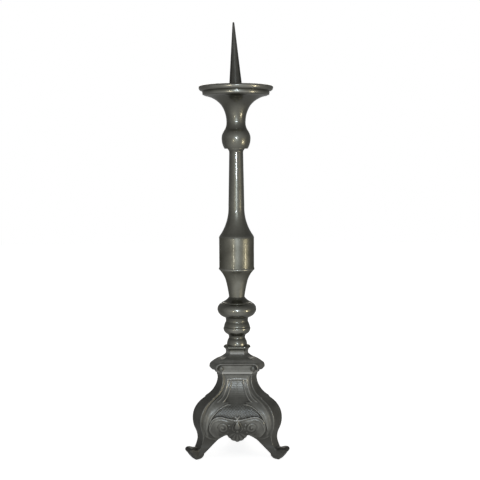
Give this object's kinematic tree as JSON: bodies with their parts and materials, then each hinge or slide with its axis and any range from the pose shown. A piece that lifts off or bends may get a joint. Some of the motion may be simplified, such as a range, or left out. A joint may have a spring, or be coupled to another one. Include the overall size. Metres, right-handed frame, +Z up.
{
  "type": "pricket candle stand",
  "caption": "Tall cast-metal pricket candle stand: iron spike over a beaded drip pan, turned baluster stem on a tie rod, three-sided relief base on scroll toes.",
  "frame": {"origin": "on the stem axis, in the plane of the floor that the three toes stand on", "axes": "+Z up along the stem axis, -Y towards the viewer through the front panel of the base, +X to the viewer's right"},
  "size_m": [0.1358, 0.1221, 0.56],
  "materials": {
    "pewter": "satin",
    "pewter_relief": "satin",
    "spike_iron": "satin",
    "hidden_iron": "matte"
  },
  "bodies": {
    "root": {"pricket": "spike_iron", "drip_pan": "pewter", "pan_trumpet": "pewter", "bulb_cup": "pewter", "shaft": "pewter", "drum": "pewter", "vase_bell": "pewter", "knop_upper": "pewter", "knop_lower": "pewter", "ring_knop": "pewter", "foot_bell": "pewter", "abacus": "pewter", "cushion_stage": "pewter_relief", "base_panel_front": "pewter_relief", "base_panel_right": "pewter_relief", "base_panel_left": "pewter_relief", "leg_right": "pewter", "leg_rear": "pewter", "leg_left": "pewter", "tie_rod": "hidden_iron", "tie_nut": "hidden_iron", "tie_washer": "hidden_iron", "spreader_plate": "hidden_iron"}
  },
  "joints": []
}
